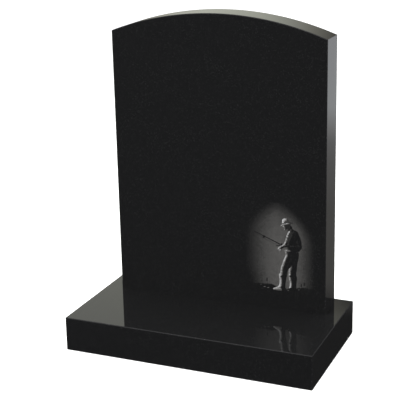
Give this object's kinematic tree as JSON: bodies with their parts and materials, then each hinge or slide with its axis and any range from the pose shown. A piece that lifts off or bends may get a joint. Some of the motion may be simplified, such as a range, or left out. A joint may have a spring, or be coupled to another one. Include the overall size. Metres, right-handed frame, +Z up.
{
  "type": "headstone",
  "caption": "Upright headstone in polished black granite: a flat tablet with a shallow arched top on a plain block base, with an angler etched low on the right of its face.",
  "frame": {"origin": "middle of the base's underside", "axes": "+Z up, -Y out of the polished face with the picture, +X to the right of someone who faces it"},
  "size_m": [0.61, 0.33, 0.782],
  "materials": {
    "polished_granite": "polished",
    "etched_granite": "etched, matt grey"
  },
  "bodies": {
    "root": {"base": "polished_granite", "tablet": "polished_granite"}
  },
  "joints": []
}
